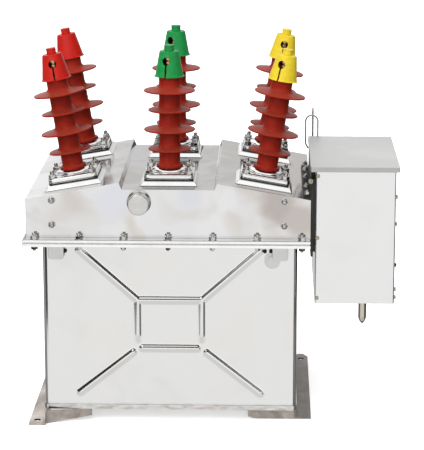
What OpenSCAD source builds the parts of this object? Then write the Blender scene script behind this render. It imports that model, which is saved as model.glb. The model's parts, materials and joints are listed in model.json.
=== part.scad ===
// Outdoor vacuum circuit breaker: a steel tank on two rails, a hipped cover with six
// bushings that stand square on its roof, and a spring mechanism box on the right end.
// Millimetres, +Z up, the front looks along -Y.

/* [Tank] */
// outside width of the tank
tank_w = 738; // [500:1000]
// outside depth of the tank
tank_d = 648; // [400:900]
// height of the tank from its floor to its rim
tank_h = 508; // [400:800]
// sheet thickness of the tank
tank_wall = 4; // [2:0.5:8]
// radius of the tank's upright corners
tank_corner = 14; // [10:30]
// how far the tank stands to the right of the cover's middle
tank_x = 4; // [0:8]
// height of the strip welded round the foot of the tank
lip_h = 14; // [8:30]
// how far that strip stands out
lip_out = 2.5; // [1:0.5:6]
// width of the pressed beads at their root
bead_w = 24; // [14:36]
// how far the beads stand out
bead_out = 6; // [3:0.5:9]
// outside width of the pressed rectangle in the middle
bead_rect_w = 210; // [120:300]
// outside height of the pressed rectangle
bead_rect_h = 157; // [90:220]
// height of the rectangle's middle above the tank floor
bead_rect_z = 266; // [180:340]
// distance of the cross beads' upper ends from the tank's corners
bead_end_high = 109; // [80:160]
// distance of the cross beads' lower ends from the tank's corners
bead_end_low = 99; // [60:160]
// height of the cross beads' lower ends above the tank floor
bead_low = 43; // [30:70]
// distance of the cross beads' upper ends from the flange
bead_top_gap = 17; // [14:40]

/* [Flange joint] */
// how far both flanges stand out in front of and behind the cover
flange_front = 32; // [24:48]
// how far both flanges stand out beyond the cover's left end
flange_side = 8; // [4:20]
// thickness of the tank's flange
tank_flange_t = 9.5; // [6:16]
// thickness of the gasket between the flanges
gasket_t = 2.5; // [1.5:0.5:6]
// how far the gasket's edge lies back from the flanges' edge
gasket_back = 3; // [1:6]
// thickness of the cover's flange
cover_flange_t = 9.5; // [5:0.5:14]

/* [Cover] */
// how far the cover stands out over the tank at each end
cover_side = 41; // [24:60]
// how far the cover stands out over the tank in front and behind
cover_front = 10; // [4:24]
// height of the cover's end wall, up to the eaves
eaves_h = 114.5; // [80:0.5:180]
// how far the two ridges stand above the eaves
ridge_rise = 47; // [30:80]
// half the distance between the two ridges
ridge_x = 140; // [125:170]
// how far the middle panel lies below the ridges
panel_drop = 18.5; // [12:0.5:30]
// run of the step between ridge and middle panel
panel_step = 7; // [4:14]
// sheet thickness of the cover
cover_wall = 4; // [2:0.5:8]
// diameter of the round boss's front disc
boss_d = 61; // [40:90]
// how much wider the boss is where it meets the cover
boss_flare = 9; // [0:16]
// how far the boss stands out
boss_out = 38; // [20:60]
// place of the boss from the middle, to the left
boss_x = 83; // [50:110]
// how far the boss's axis lies below the eaves
boss_below = 9.5; // [0:40]

/* [Bushings] */
// distance between the front and the back row
row_gap = 417; // [320:460]
// distance from the middle phase to an outer phase, at the cover
phase_gap = 274; // [240:300]
// side of the welded square seat at its foot
seat_w = 168; // [150:190]
// how much narrower the seat is at its top
seat_taper = 18; // [0:24]
// height of the welded square seat
seat_h = 13.5; // [10:0.5:30]
// how far the rubber pad stands out round the clamp
pad_out = 2; // [0:6]
// thickness of the rubber pad
pad_t = 6; // [3:10]
// side of the clamp plate
clamp_w = 138; // [126:144]
// thickness of the clamp plate
clamp_t = 12.5; // [8:0.5:24]
// corner radius of the clamp plate and its pad
clamp_corner = 10; // [4:18]
// diameter of the dished collar on the clamp plate
collar_d = 104; // [92:116]
// height of the dished collar
collar_h = 11; // [6:18]
// height of the collar's straight edge
collar_edge = 2.5; // [1:0.5:5]
// diameter of the insulator body
core_d = 61; // [54:66]
// diameter of the insulator's foot
foot_d = 77; // [72:86]
// height of the foot's straight edge
foot_edge = 8; // [5:12]
// diameter of the wide sheds
shed_wide = 149; // [120:180]
// diameter of the narrow sheds
shed_narrow = 124; // [100:150]
// thickness of a shed at its round edge
shed_edge = 5; // [3:0.5:7]
// fall of a shed's upper face, in degrees
shed_slope = 10; // [5:16]
// rise of a shed's lower face, in degrees
shed_under = 4; // [0:8]
// radius where a shed's upper face meets the body
shed_root = 13; // [4:16]
// height of the lowest shed's edge above the cover
shed_first = 95.5; // [86:0.5:120]
// distance from one shed to the next
shed_pitch = 57; // [40:64]
// number of sheds on each bushing
shed_count = 4; // [2:5]
// length of the insulator body above the top shed
neck_h = 51; // [40:80]
// diameter of the stem that passes down through the cover
stem_d = 50; // [36:56]
// room between the stem and the plates round it
stem_room = 2; // [1:0.5:4]
// how far the stem reaches down inside the cover
stem_in = 40; // [20:60]

/* [Terminal caps] */
// height of the cap without its stub
cap_h = 74.5; // [60:0.5:100]
// how far the cap overlaps the neck of the insulator
cap_over = 10; // [4:20]
// diameter of the cap just above its lower rim
cap_low = 83; // [76:96]
// diameter of the cap at its shoulder
cap_top = 57; // [50:70]
// how far the bead round the lower rim stands out
cap_lip = 2.5; // [1:0.5:4]
// wall of the cap
cap_wall = 3.5; // [2:0.5:5]
// diameter of the stub on top of the cap
stub_d = 28; // [20:36]
// height of the stub
stub_h = 17; // [8:0.5:24]
// height of the lead hole above the cap's lower rim
lead_up = 47; // [38:56]
// diameter of the lead hole in the side
lead_hole = 23; // [14:28]
// width of the slit from the lead hole to the rim
slit_w = 5; // [2:0.5:8]
// turn of the lead holes in the front row, from left to right
cap_turn_front = [0, -14, -22]; // [-180:180]
// turn of the lead holes in the back row, from left to right
cap_turn_back = [160, -30, -3]; // [-180:180]
// diameter of the brass terminal inside
terminal_d = 24; // [16:32]
// diameter of the two clamping nuts on the terminal
nut_d = 37; // [30:44]
// height of each clamping nut
nut_h = 10; // [6:14]

/* [Rails] */
// clear height from the ground to the tank floor
rail_h = 38; // [28:60]
// width of the rail's foot flange
rail_foot = 45; // [36:60]
// sheet thickness of the rails
rail_t = 5; // [4:10]
// how far the rails reach out behind the tank
rail_back = 31; // [4:40]
// how far the rails' clipped rear corners reach forwards
rail_clip = 30; // [10:44]
// how far the left rail reaches out in front of the tank
rail_left_out = 46; // [6:46]
// how far the right rail's front end lies back from the tank's front
rail_right_back = 34; // [0:60]
// length of the cross plates at the rails' ends
plate_len = 137; // [80:180]
// how far the left rail's cross plate stands in front of the tank at its outer end
plate_out = 28; // [0:40]
// diameter of the holding-down holes
hole_d = 18; // [9:20]
// distance of the left rail's front hole from the rail's end
hole_front = 36; // [16:60]
// distance of both rear holes from the rail's end
hole_back = 54; // [40:80]

/* [Mechanism box] */
// width of the box body
box_w = 229; // [180:320]
// depth of the box body
box_d = 458; // [340:520]
// height of the box body
box_h = 399.5; // [340:520]
// sheet thickness of the box
box_wall = 3; // [2:0.5:6]
// bend radius of the box's upright corners
box_corner = 6; // [4:12]
// how far the lid stands over the body on the tank's side
lid_left = 15; // [6:20]
// how far the lid stands over the body on the far side
lid_right = 10; // [6:20]
// how far the lid stands over the body at the front and back
lid_end = 8; // [4:16]
// height of the lid's rim
lid_h = 14; // [8:24]
// sheet thickness of the lid
lid_t = 3; // [2:0.5:5]
// how far the box's front lies back from the front of the flanges
box_front = 23; // [0:40]
// how far the box rises above the cover's eaves
box_rise = 96.5; // [80:0.5:160]
// thickness of the black steel plate that carries the box
mount_t = 7; // [5:12]
// thickness of the seal between that plate and the box
seal_t = 6; // [4:12]
// how far the front of plate and seal lies back from the box's front
mount_in = 14; // [6:30]
// how far the black plate reaches out behind the box
mount_back = 16; // [10:40]
// how far the black plate rises above the cover's eaves
mount_rise = 62; // [40:76]
// how far the black plate hangs below the flanges
mount_drop = 32; // [10:60]
// how much shorter the seal is at the bottom
seal_up = 15; // [4:20]
// width of the plate's leg that lies on the roof
leg_w = 22; // [16:36]

/* [Small fittings] */
// diameter of the release knob under the box
knob_d = 23.5; // [18:34]
// how far the knob hangs down
knob_h = 71.5; // [50:100]
// distance of the knob's axis from the box's left wall
knob_x = 140; // [60:170]
// distance of the knob's axis from the box's front
knob_y = 43; // [30:120]
// width of the hoisting lugs under the flanges
lug_w = 45; // [30:60]
// how far the lugs hang down
lug_h = 41; // [24:60]
// thickness of the lugs
lug_t = 10; // [6:14]
// distance of the lugs' middle from the tank's corners
lug_side = 50; // [34:90]
// how far the lugs' outer face lies back from the edge of the flange
lug_in = 20; // [12:24]
// diameter of the drain valve's disc
valve_d = 47; // [30:60]
// how far the drain valve stands out
valve_out = 9; // [6:12]
// wire thickness of the lifting rings
ring_t = 5; // [4:8]
// outside width of the lifting rings
ring_w = 42.5; // [34:60]
// height of the nearer lifting ring
ring_h = 103; // [80:150]
// how much taller the ring behind it is
ring_more = 15; // [0:30]
// sideways bend at the foot of the nearer ring's left leg
ring_kink = 7; // [0:10]
// thickness of the shelf that carries the rings
shelf_t = 6; // [4:10]
// how far the shelf stands out round the rings
shelf_edge = 4; // [2:10]
// room between the lid and the nearer ring's middle
ring_room = 8; // [4:20]
// room between the two rings
ring_gap = 10; // [6:20]

/* [Hidden] */
$fn = 64;
eps = 0.01;
// the cover reaches out over the tank on all sides
cover_w = tank_w + 2 * cover_side;
cover_d = tank_d + 2 * cover_front;
// driving heights, from the ground up
tank_z = rail_h;
rim_z = tank_z + tank_h;
flange_z = rim_z - tank_flange_t;
cover_z = rim_z + gasket_t;
deck_z = cover_z + cover_flange_t;
eaves_z = deck_z + eaves_h;
ridge_z = eaves_z + ridge_rise;
panel_z = ridge_z - panel_drop;
// the cover's roof
slope = atan(ridge_rise / (cover_w / 2 - ridge_x));
slope_wall = cover_wall / cos(slope);
lug_x = tank_w / 2 - lug_side + tank_x;
// both flanges
flange_w = cover_w + flange_side;
flange_d = cover_d + 2 * flange_front;
// one bushing, measured from the roof along its own axis
clamp_z = seat_h + pad_t;
plate_top = clamp_z + clamp_t;
foot_z = plate_top + collar_h;
core_r = core_d / 2;
foot_r = foot_d / 2;
bore_d = stem_d + 2 * stem_room;
top_shed = shed_first + (shed_count - 1) * shed_pitch;
neck_z = top_shed + neck_h;
cap_z = neck_z - cap_over;
shoulder_z = cap_z + cap_h;
lead_z = cap_z + lead_up;
// the mechanism box
box_x = cover_w / 2 + mount_t + seal_t;
box_y = -flange_d / 2 + box_front;
box_top = eaves_z + box_rise;
box_z = box_top - box_h;
mount_y = box_y + mount_in;
mount_len = box_d - mount_in + mount_back;
plate_low = flange_z - mount_drop;
shelf_z = eaves_z + mount_rise - shelf_t;
// the rails
rail_back_y = tank_d / 2 + rail_back;
rail_left_y = -tank_d / 2 - rail_left_out;
rail_right_y = -tank_d / 2 + rail_right_back;
// the middle of the outline
left_reach = cover_w / 2 + flange_side;
right_reach = box_x + box_w + lid_right;
front_reach = max(cover_d / 2 + boss_out, flange_d / 2, -rail_left_y);
back_reach = max(flange_d / 2, rail_back_y);
mid_x = (right_reach - left_reach) / 2;
mid_y = (back_reach - front_reach) / 2;

function roof_z(x) = ridge_z - (x - ridge_x) * tan(slope);
// points of a round stretch of a profile
function arc(x, y, r, from, to, steps) =
  [for (i = [0:steps]) let (a = from + (to - from) * i / steps) [x + r * cos(a), y + r * sin(a)]];

// the part stands with the middle of its outline over the origin
module stand() translate([-mid_x, -mid_y, 0]) children();

// what belongs to the tank, which stands a little beside the cover's middle
module on_tank() stand() translate([tank_x, 0, 0]) children();

// a block centred on x and y
module block(w, d, h, z = 0) translate([-w / 2, -d / 2, z]) cube([w, d, h]);

// a block with rounded upright edges
module round_block(w, d, h, r, z = 0) translate([0, 0, z]) linear_extrude(height = h) {
  square([w - 2 * r, d], center = true);
  square([w, d - 2 * r], center = true);
  for (i = [-1, 1], j = [-1, 1]) translate([i * (w / 2 - r), j * (d / 2 - r)]) circle(r = r);
}

// one of the two flanges, flush with the cover's right end
module flange_block(t, z, back = 0) translate([-flange_side / 2, 0, 0])
  block(flange_w - 2 * back, flange_d - 2 * back, t, z);

// the place of one bushing: side -1, 0 or 1, row -1 in front and 1 behind
module bushing_at(side, row) stand()
  translate([side * phase_gap, row * row_gap / 2, side == 0 ? panel_z : roof_z(phase_gap)])
  rotate([0, side * slope, 0]) children();

module each_bushing() for (side = [-1, 0, 1], row = [-1, 1]) bushing_at(side, row) children();

// ---- tank

// radius of a flat round back, and half the angle that it takes
function back_r(w, out) = (w * w / 4 + out * out) / (2 * out);
function back_a(w, out) = asin(w / 2 / back_r(w, out));

// a pressed bead between two points of the tank's front
module bead(x0, z0, x1, z1) {
  r = back_r(bead_w, bead_out);
  a = back_a(bead_w, bead_out);
  translate([x0, 0, z0]) rotate([0, -atan2(z1 - z0, x1 - x0), 0]) rotate([90, 0, 90])
    linear_extrude(height = norm([x1 - x0, z1 - z0]))
      polygon(concat([[1, -bead_w / 2], [1, bead_w / 2]], arc(r - bead_out, 0, r, 180 - a, 180 + a, 6)));
}

// the round end of a bead, a little proud of it
module bead_dome(x, z) {
  w = bead_w + 1;
  out = bead_out + 0.4;
  r = back_r(w, out);
  translate([x, 0, z]) rotate([90, 0, 0]) rotate_extrude()
    polygon(concat([[0, -1], [w / 2, -1]], arc(0, out - r, r, 90 - back_a(w, out), 90, 4)));
}

module front_beads() {
  rx = (bead_rect_w - bead_w) / 2;
  rz = (bead_rect_h - bead_w) / 2;
  low = bead_rect_z - rz;
  high = bead_rect_z + rz;
  top = tank_h - tank_flange_t - bead_top_gap;
  translate([0, -tank_d / 2, tank_z]) {
    bead(-rx, low, rx, low);
    bead(-rx, high, rx, high);
    for (s = [-1, 1]) {
      end_high = s * (tank_w / 2 - bead_end_high);
      end_low = s * (tank_w / 2 - bead_end_low);
      bead(s * rx, low, s * rx, high);
      bead(s * rx, high, end_high, top);
      bead(s * rx, low, end_low, bead_low);
      bead_dome(s * rx, low);
      bead_dome(s * rx, high);
      bead_dome(end_high, top);
      bead_dome(end_low, bead_low);
    }
  }
}

module tank_shell() color("gainsboro") on_tank() difference() {
  union() {
    round_block(tank_w, tank_d, tank_h, tank_corner, tank_z);
    front_beads();
    mirror([0, 1, 0]) front_beads();
  }
  round_block(tank_w - 2 * tank_wall, tank_d - 2 * tank_wall, tank_h,
    tank_corner - tank_wall, tank_z + tank_wall);
}

module tank_lip() color("silver") on_tank() difference() {
  round_block(tank_w + 2 * lip_out, tank_d + 2 * lip_out, lip_h, tank_corner + lip_out, tank_z);
  round_block(tank_w, tank_d, lip_h + 2, tank_corner, tank_z - 1);
}

module tank_flange() color("lightgray") stand() difference() {
  flange_block(tank_flange_t, flange_z);
  translate([tank_x, 0, 0]) round_block(tank_w, tank_d, tank_flange_t + 2, tank_corner, flange_z - 1);
}

module cover_gasket() color("dimgray") stand() difference() {
  flange_block(gasket_t, rim_z, gasket_back);
  translate([tank_x, 0, 0]) block(tank_w - 2 * tank_wall, tank_d - 2 * tank_wall, gasket_t + 2, rim_z - 1);
}

// ---- cover

module cover_outline() {
  w = cover_w / 2;
  polygon([[-w, cover_z], [-w, eaves_z], [-ridge_x, ridge_z], [-ridge_x + panel_step, panel_z],
    [ridge_x - panel_step, panel_z], [ridge_x, ridge_z], [w, eaves_z], [w, cover_z]]);
}

module cover_hollow() {
  w = cover_w / 2 - cover_wall;
  r = ridge_x + cover_wall;
  p = r - panel_step;
  side = roof_z(w) - slope_wall;
  ridge = roof_z(r) - slope_wall;
  floor_z = cover_z - 1;
  polygon([[-w, floor_z], [-w, side], [-r, ridge], [-p, panel_z - cover_wall],
    [p, panel_z - cover_wall], [r, ridge], [w, side], [w, floor_z]]);
}

module cover_flange() color("lightgray") stand() difference() {
  flange_block(cover_flange_t, cover_z);
  block(cover_w, cover_d, cover_flange_t + 2, cover_z - 1);
}

module cover_shell() color("gainsboro") difference() {
  stand() translate([0, cover_d / 2, 0]) rotate([90, 0, 0]) linear_extrude(height = cover_d) cover_outline();
  stand() translate([0, cover_d / 2 - cover_wall, 0]) rotate([90, 0, 0])
    linear_extrude(height = cover_d - 2 * cover_wall) cover_hollow();
  each_bushing() translate([0, 0, -3 * cover_wall]) cylinder(d = bore_d, h = 6 * cover_wall);
}

module cover_boss() color("silver") stand()
  translate([-boss_x, -cover_d / 2, eaves_z - boss_below]) rotate([90, 0, 0]) {
    r = boss_d / 2;
    edge = boss_out * 0.1;
    rotate_extrude() polygon(concat([[0, 0], [r + boss_flare / 2, 0], [r + boss_flare / 2 - edge, edge]],
      arc(r - edge, boss_out - edge, edge, 0, 90, 4), [[0, boss_out]]));
  }

// ---- bushings

// a square seat whose four sides lean inwards
module leaning_block(w, top, h) intersection_for(turn = [0, 90])
  rotate([90, 0, turn]) translate([0, 0, -w / 2]) linear_extrude(height = w)
    polygon([[-w / 2, 0], [w / 2, 0], [top / 2, h], [-top / 2, h]]);

module bushing_seats() color("silver") each_bushing() difference() {
  leaning_block(seat_w, seat_w - seat_taper, seat_h);
  translate([0, 0, -1]) cylinder(d = bore_d, h = seat_h + 2);
}

module bushing_pads() color("black") each_bushing() difference() {
  round_block(clamp_w + 2 * pad_out, clamp_w + 2 * pad_out, pad_t, clamp_corner, seat_h);
  translate([0, 0, seat_h - 1]) cylinder(d = bore_d, h = pad_t + 2);
}

// the clamp plate with its dished collar, round the foot of the insulator
module clamp(side, row) color("gainsboro") bushing_at(side, row) difference() {
  seat_r = foot_r + 1;
  union() {
    round_block(clamp_w, clamp_w, clamp_t, clamp_corner, clamp_z);
    translate([0, 0, plate_top]) rotate_extrude() polygon(concat([[0, -1], [collar_d / 2, -1]],
      [for (a = [0:15:90]) [seat_r + (collar_d / 2 - seat_r) * cos(a),
        collar_edge + (collar_h - collar_edge) * sin(a)]], [[0, collar_h]]));
  }
  translate([0, 0, clamp_z - 1]) cylinder(d = bore_d, h = clamp_t + collar_h + 2);
}

// one shed from below: root, rising lower face, round edge, falling upper face, wide root
function shed(z, r) =
  let (e = shed_edge / 2, root = 3,
    low = z - e - (r - e - core_r - root) * tan(shed_under),
    high = z + e + (r - e - core_r - shed_root) * tan(shed_slope))
  concat(arc(core_r + root, low - root, root, 180, 90, 3), arc(r - e, z, e, -90, 90, 6),
    arc(core_r + shed_root, high + shed_root, shed_root, 270, 180, 5));
function shed_r(i) = (shed_count - 1 - i) % 2 == 0 ? shed_wide / 2 : shed_narrow / 2;
function sheds(i = 0) = i == shed_count ? []
  : concat(shed(shed_first + i * shed_pitch, shed_r(i)), sheds(i + 1));

module insulator(side, row) color("firebrick") bushing_at(side, row) rotate_extrude() polygon(concat(
  [[0, -stem_in], [stem_d / 2, -stem_in], [stem_d / 2, foot_z], [foot_r - 1.5, foot_z],
    [foot_r, foot_z + 1.5], [foot_r, foot_z + foot_edge - 1.5]],
  arc(foot_r - 1.5, foot_z + foot_edge + foot_r - 1.5 - core_r, foot_r - 1.5 - core_r, 270, 180, 5),
  sheds(), [[core_r, neck_z - 3], [core_r - 3, neck_z], [0, neck_z]]));

// outline of the cap, drawn in by a wall for its hollow
module cap_profile(wall = 0) {
  low = cap_low / 2 - wall;
  top = cap_top / 2 - wall;
  high = shoulder_z - wall;
  polygon(concat([[0, cap_z], [low, cap_z]], arc(top - 3, high - 3, 3, 15, 90, 4), [[0, high]]));
}

module cap(side, row) bushing_at(side, row)
  rotate([0, 0, (row < 0 ? cap_turn_front : cap_turn_back)[side + 1]]) difference() {
    inner = cap_low / 2 - cap_wall;
    lip = cap_lip / 2;
    rotate_extrude() {
      cap_profile();
      polygon(concat([[inner, cap_z]], arc(cap_low / 2 + lip, cap_z + lip, lip, -90, 90, 6),
        [[inner, cap_z + 2 * cap_lip]]));
      translate([0, shoulder_z - 1]) square([stub_d / 2, stub_h - 1]);
      polygon(concat([[0, shoulder_z + stub_h - 5]],
        arc(stub_d / 2 - 1, shoulder_z + stub_h - 3, 2, -30, 0, 2),
        arc(stub_d / 2 - 1, shoulder_z + stub_h - 2, 2, 0, 90, 4), [[0, shoulder_z + stub_h]]));
    }
    translate([0, 0, -eps]) rotate_extrude() cap_profile(cap_wall);
    translate([0, 0, lead_z]) rotate([90, 0, 0]) cylinder(d = lead_hole, h = cap_low);
    translate([-slit_w / 2, -cap_low, cap_z - 1]) cube([slit_w, cap_low, lead_z - cap_z + 1]);
  }

// the terminal stud with two clamping nuts, one above and one below the lead
module terminals() color("goldenrod") each_bushing() rotate_extrude() {
  gap = 3;
  translate([0, neck_z]) square([terminal_d / 2, shoulder_z - cap_wall - eps - neck_z]);
  for (z = [lead_z - gap / 2 - nut_h, lead_z + gap / 2]) translate([0, z])
    polygon([[0, 0], [nut_d / 2 - 1.5, 0], [nut_d / 2, 1.5], [nut_d / 2, nut_h - 1.5],
      [nut_d / 2 - 1.5, nut_h], [0, nut_h]]);
}

module clamp_front_left() clamp(-1, -1);
module clamp_front_mid() clamp(0, -1);
module clamp_front_right() clamp(1, -1);
module clamp_back_left() clamp(-1, 1);
module clamp_back_mid() clamp(0, 1);
module clamp_back_right() clamp(1, 1);
module insulator_front_left() insulator(-1, -1);
module insulator_front_mid() insulator(0, -1);
module insulator_front_right() insulator(1, -1);
module insulator_back_left() insulator(-1, 1);
module insulator_back_mid() insulator(0, 1);
module insulator_back_right() insulator(1, 1);
module cap_front_left() color("crimson") cap(-1, -1);
module cap_front_mid() color("seagreen") cap(0, -1);
module cap_front_right() color("gold") cap(1, -1);
module cap_back_left() color("crimson") cap(-1, 1);
module cap_back_mid() color("seagreen") cap(0, 1);
module cap_back_right() color("gold") cap(1, 1);

// ---- rails

// an angle rail under the tank's right side: web under the wall, foot flange outwards, its
// rear corners clipped round the hole there
module rail(front_y, holes) translate([tank_w / 2, 0, 0]) difference() {
  foot = rail_foot;
  clip = rail_back_y - rail_clip;
  union() {
    translate([-rail_t, front_y, 0]) cube([rail_t, clip - front_y, rail_h]);
    linear_extrude(height = rail_t) polygon([[-rail_t, front_y], [foot, front_y], [foot, clip],
      [foot * 0.66, rail_back_y], [foot * 0.34, rail_back_y], [-rail_t, clip]]);
  }
  for (y = holes) translate([foot / 2, y, -1]) cylinder(d = hole_d, h = rail_t + 2);
}

// an upright plate from the rail's web inwards, turned back by an angle; its lower edge is
// level, then rises to its free end
module cross_plate(y, level, rise, turn = 0) translate([tank_w / 2 - rail_t, y, 0]) difference() {
  rotate([0, 0, -turn]) translate([0, rail_t, 0]) rotate([90, 0, 0]) linear_extrude(height = rail_t)
    polygon([[rail_t, rail_h], [rail_t, 0], [-level, 0], [-plate_len, rise], [-plate_len, rail_h]]);
  translate([0, -rail_h, -1]) cube([2 * rail_t, 2 * rail_h, rail_h + 2]);
}

module rail_left() color("gray") on_tank() mirror([1, 0, 0])
  rail(rail_left_y, [rail_left_y + hole_front, rail_back_y - hole_back]);
module rail_right() color("gray") on_tank() rail(rail_right_y, [rail_back_y - hole_back]);
module cross_left() color("dimgray") on_tank() mirror([1, 0, 0]) {
  cross_plate(-tank_d / 2 - plate_out, rail_t, rail_h * 0.42, atan((plate_out + rail_t) / plate_len));
  cross_plate(tank_d / 2 - rail_t, rail_t, rail_h * 0.42);
}
module cross_right() color("dimgray") on_tank() {
  cross_plate(rail_right_y, plate_len * 0.86, rail_h * 0.18);
  cross_plate(tank_d / 2 - rail_t, plate_len * 0.86, rail_h * 0.18);
}

// ---- small fittings under the flanges

// lugs with rounded lower corners, welded under the flange at its four corners
module hoist_lugs() color("silver") stand() for (x = [-1, 1], y = [-1, 1])
  translate([x * lug_x, y * (flange_d / 2 - lug_in - lug_t / 2) + lug_t / 2, flange_z])
  rotate([90, 0, 0])
    linear_extrude(height = lug_t) {
      r = lug_w * 0.2;
      translate([-lug_w / 2, r - lug_h]) square([lug_w, lug_h - r]);
      translate([r - lug_w / 2, -lug_h]) square([lug_w - 2 * r, lug_h]);
      for (s = [-1, 1]) translate([s * (lug_w / 2 - r), r - lug_h]) circle(r = r);
    }

// a flat valve on the tank wall, half behind the right lug
module drain_valve() color("silver") stand()
  translate([lug_x - lug_w / 2, -tank_d / 2, flange_z - lug_h - 4]) rotate([90, 0, 0]) {
    cylinder(d = valve_d, h = valve_out * 0.6);
    cylinder(d = valve_d * 0.62, h = valve_out);
  }

// ---- mechanism box

// the black steel plate on the cover's end, with a leg folded over onto the roof
module mount_plate() color("black") stand() {
  x = cover_w / 2;
  translate([x, mount_y, plate_low]) cube([mount_t, mount_len, eaves_z + mount_rise - plate_low]);
  translate([0, mount_y + mount_len, 0]) rotate([90, 0, 0]) linear_extrude(height = mount_len)
    polygon([[x + eps, eaves_z], [x + eps, eaves_z + rail_t], [x - leg_w, roof_z(x - leg_w) + rail_t],
      [x - leg_w, roof_z(x - leg_w)]]);
}

module mount_seal() color("black") stand()
  translate([cover_w / 2 + mount_t, mount_y, plate_low + seal_up])
    cube([seal_t, box_d - mount_in, eaves_z + mount_rise - plate_low - seal_up]);

module box_body() color("gainsboro") stand()
  translate([box_x + box_w / 2, box_y + box_d / 2, box_z]) difference() {
    round_block(box_w, box_d, box_h, box_corner);
    round_block(box_w - 2 * box_wall, box_d - 2 * box_wall, box_h, box_corner - box_wall, box_wall);
  }

module box_lid() color("darkgray") stand()
  translate([box_x + (box_w + lid_right - lid_left) / 2, box_y + box_d / 2, box_top + lid_t - lid_h])
    difference() {
      w = box_w + lid_left + lid_right;
      d = box_d + 2 * lid_end;
      round_block(w, d, lid_h, lid_t);
      block(w - 2 * lid_t, d - 2 * lid_t, lid_h - lid_t + 1, -1);
    }

// a turned knob with a pointed nose, under the box's floor
module release_knob() color("silver") stand()
  translate([box_x + knob_x, box_y + knob_y, box_z]) mirror([0, 0, 1]) {
    r = knob_d / 2;
    nose = knob_h * 0.34;
    bow = (nose * nose + r * r) / (2 * r);
    tip = acos((bow - r) / bow);
    rotate_extrude() polygon(concat([[0, 0], [r - 1.5, 0], [r, 1.5]],
      arc(r - bow, knob_h - nose, bow, 0, tip * 0.9, 8), [[0, knob_h - r / 16]]));
  }

// an upright wire ring in the XZ plane, its feet at z = 0, the left one bent inwards
module wire_ring(high, kink = 0) {
  r = (ring_w - ring_t) / 2;
  w = ring_t / 2;
  bend = 2 * kink;
  top = high - w - r;
  translate([r, 0, 0]) cylinder(r = w, h = top);
  translate([-r, 0, bend]) cylinder(r = w, h = top - bend);
  if (kink > 0) {
    translate([-r, 0, bend]) sphere(r = w * 1.06);
    translate([kink - r, 0, 0]) rotate([0, -atan(kink / bend), 0])
      translate([0, 0, -w]) cylinder(r = w, h = norm([kink, bend]) + w);
  }
  translate([0, 0, top]) rotate([90, 0, 0]) rotate_extrude(angle = 180) translate([r, 0]) circle(r = w);
}

// a shelf behind the box with two lifting rings on it, one across and one end-on behind it
module lifting_rings() color("silver") stand() translate([box_x, box_y + box_d, shelf_z]) {
  near_y = lid_end + ring_room;
  far_y = near_y + ring_t + ring_w / 2 + ring_gap;
  cube([ring_w / 2 + shelf_edge, far_y + ring_w / 2 + shelf_edge, shelf_t]);
  translate([-shelf_edge, near_y, shelf_t]) wire_ring(ring_h, ring_kink);
  translate([0, far_y, shelf_t]) rotate([0, 0, 90]) wire_ring(ring_h + ring_more);
}

tank_shell();
tank_lip();
tank_flange();
cover_gasket();
cover_flange();
cover_shell();
cover_boss();
bushing_seats();
bushing_pads();
clamp_front_left();
clamp_front_mid();
clamp_front_right();
clamp_back_left();
clamp_back_mid();
clamp_back_right();
insulator_front_left();
insulator_front_mid();
insulator_front_right();
insulator_back_left();
insulator_back_mid();
insulator_back_right();
cap_front_left();
cap_front_mid();
cap_front_right();
cap_back_left();
cap_back_mid();
cap_back_right();
terminals();
rail_left();
rail_right();
cross_left();
cross_right();
hoist_lugs();
drain_valve();
mount_plate();
mount_seal();
box_body();
box_lid();
release_knob();
lifting_rings();
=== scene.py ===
import json
import math

import bmesh
import bpy
from mathutils import Matrix, Vector


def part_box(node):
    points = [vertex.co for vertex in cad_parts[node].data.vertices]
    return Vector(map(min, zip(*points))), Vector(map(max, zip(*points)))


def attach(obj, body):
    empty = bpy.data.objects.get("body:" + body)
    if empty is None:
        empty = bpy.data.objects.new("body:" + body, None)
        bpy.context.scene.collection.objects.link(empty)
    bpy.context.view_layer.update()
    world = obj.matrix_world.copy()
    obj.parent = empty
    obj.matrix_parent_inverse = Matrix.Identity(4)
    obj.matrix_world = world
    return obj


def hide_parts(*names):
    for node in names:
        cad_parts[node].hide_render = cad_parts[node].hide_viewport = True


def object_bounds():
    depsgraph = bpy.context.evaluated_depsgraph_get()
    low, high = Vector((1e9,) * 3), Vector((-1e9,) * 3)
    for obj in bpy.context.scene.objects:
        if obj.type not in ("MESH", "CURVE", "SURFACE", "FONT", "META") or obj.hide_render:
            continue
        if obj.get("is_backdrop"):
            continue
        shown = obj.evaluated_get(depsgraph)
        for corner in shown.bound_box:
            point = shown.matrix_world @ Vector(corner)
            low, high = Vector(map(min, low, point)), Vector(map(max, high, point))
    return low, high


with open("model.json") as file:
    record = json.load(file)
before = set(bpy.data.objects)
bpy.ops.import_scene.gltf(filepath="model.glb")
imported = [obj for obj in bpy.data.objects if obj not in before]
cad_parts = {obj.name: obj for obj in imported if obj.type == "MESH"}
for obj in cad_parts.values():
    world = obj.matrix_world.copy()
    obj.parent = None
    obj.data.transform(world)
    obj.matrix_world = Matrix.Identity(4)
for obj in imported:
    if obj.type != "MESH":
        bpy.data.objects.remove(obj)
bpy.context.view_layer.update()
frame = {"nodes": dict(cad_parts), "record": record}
nodes = frame["nodes"]
print("frame loaded:", len(nodes), "nodes")

columns = {"left": -1, "mid": 0, "right": 1}  # which way each column's bushings lean
bushings = [(row, column) for row in ("front", "back") for column in columns]


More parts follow.
